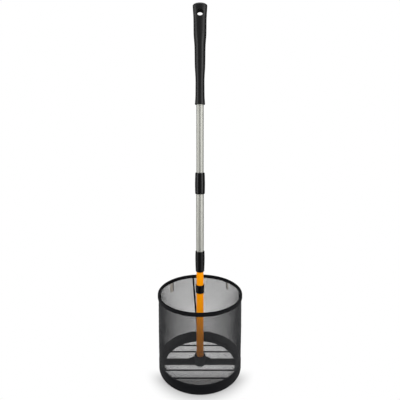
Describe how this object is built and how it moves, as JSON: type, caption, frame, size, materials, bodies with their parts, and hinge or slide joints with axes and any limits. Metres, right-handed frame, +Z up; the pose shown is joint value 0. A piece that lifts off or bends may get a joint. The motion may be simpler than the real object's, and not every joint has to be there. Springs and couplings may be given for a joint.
{
  "type": "table tennis ball pickup basket",
  "caption": "Net ball basket with elastic cords across its open base and a telescopic twist-lock pole with a grip, for picking balls up from the floor.",
  "frame": {"origin": "on the floor, under the middle of the basket's base and the pole's axis", "axes": "+Z up along the pole; the crossbar and the elastic cords run along X; the side that the picture shows faces -Y"},
  "size_m": [0.233, 0.233, 0.9749],
  "materials": {
    "frame_plastic": "moulded, matte",
    "fitting_plastic": "moulded, satin",
    "sleeve_plastic": "moulded, satin",
    "collet_plastic": "moulded acetal",
    "grip_rubber": "satin",
    "satin_steel": "satin, drawn tube",
    "orange_tube": "gloss paint",
    "spring_wire": "drawn wire",
    "zinc_steel": "zinc plated",
    "net": "knitted polyester net",
    "webbing": "woven polyester",
    "grey_webbing": "woven polyester",
    "elastic": "braided elastic"
  },
  "bodies": {
    "basket": {"base_frame": "frame_plastic", "elastic_cord_1": "elastic", "elastic_cord_2": "elastic", "elastic_cord_3": "elastic", "elastic_cord_4": "elastic", "elastic_cord_5": "elastic", "elastic_cord_6": "elastic", "mesh_wall": "net", "bottom_band": "webbing", "rim_hoop": "spring_wire", "rim_binding": "webbing", "seam_tape": "webbing", "rim_tab_left": "grey_webbing", "rim_tab_right": "grey_webbing", "side_stay_left": "spring_wire", "side_stay_right": "spring_wire", "stay_channel_left": "webbing", "stay_channel_right": "webbing", "centre_post": "orange_tube", "post_plug": "fitting_plastic", "hub_washer": "zinc_steel", "hub_screw": "zinc_steel", "post_spigot": "fitting_plastic"},
    "lower_pole": {"lower_tube": "orange_tube", "tube_bush": "fitting_plastic", "lower_tube_plug": "fitting_plastic"},
    "union": {"union_nut": "fitting_plastic"},
    "middle_pole": {"middle_tube": "satin_steel", "lower_lock_collet": "collet_plastic", "upper_lock_collet": "collet_plastic"},
    "lower_lock": {"lower_lock_sleeve": "sleeve_plastic"},
    "upper_lock": {"upper_lock_sleeve": "sleeve_plastic"},
    "upper_pole": {"upper_tube": "satin_steel", "upper_tube_plug": "fitting_plastic", "handle_grip": "grip_rubber"}
  },
  "joints": [
    {"name": "pole_lift", "type": "slide", "parent": "basket", "child": "lower_pole", "axis": [0, 0, 1], "range_m": [0, 0.03]},
    {"name": "union_nut_turn", "type": "hinge", "parent": "lower_pole", "child": "union", "pos_m": [0, 0, 0.2233], "axis": [0, 0, 1], "range_deg": [0, 720]},
    {"name": "lower_extension", "type": "slide", "parent": "lower_pole", "child": "middle_pole", "axis": [0, 0, 1], "range_m": [-0.034, 0.05]},
    {"name": "lower_lock_twist", "type": "hinge", "parent": "middle_pole", "child": "lower_lock", "pos_m": [0, 0, 0.3013], "axis": [0, 0, 1], "range_deg": [-180, 0]},
    {"name": "upper_lock_twist", "type": "hinge", "parent": "middle_pole", "child": "upper_lock", "pos_m": [0, 0, 0.5167], "axis": [0, 0, 1], "range_deg": [0, 180]},
    {"name": "upper_extension", "type": "slide", "parent": "middle_pole", "child": "upper_pole", "axis": [0, 0, 1], "range_m": [-0.035, 0.05]}
  ]
}
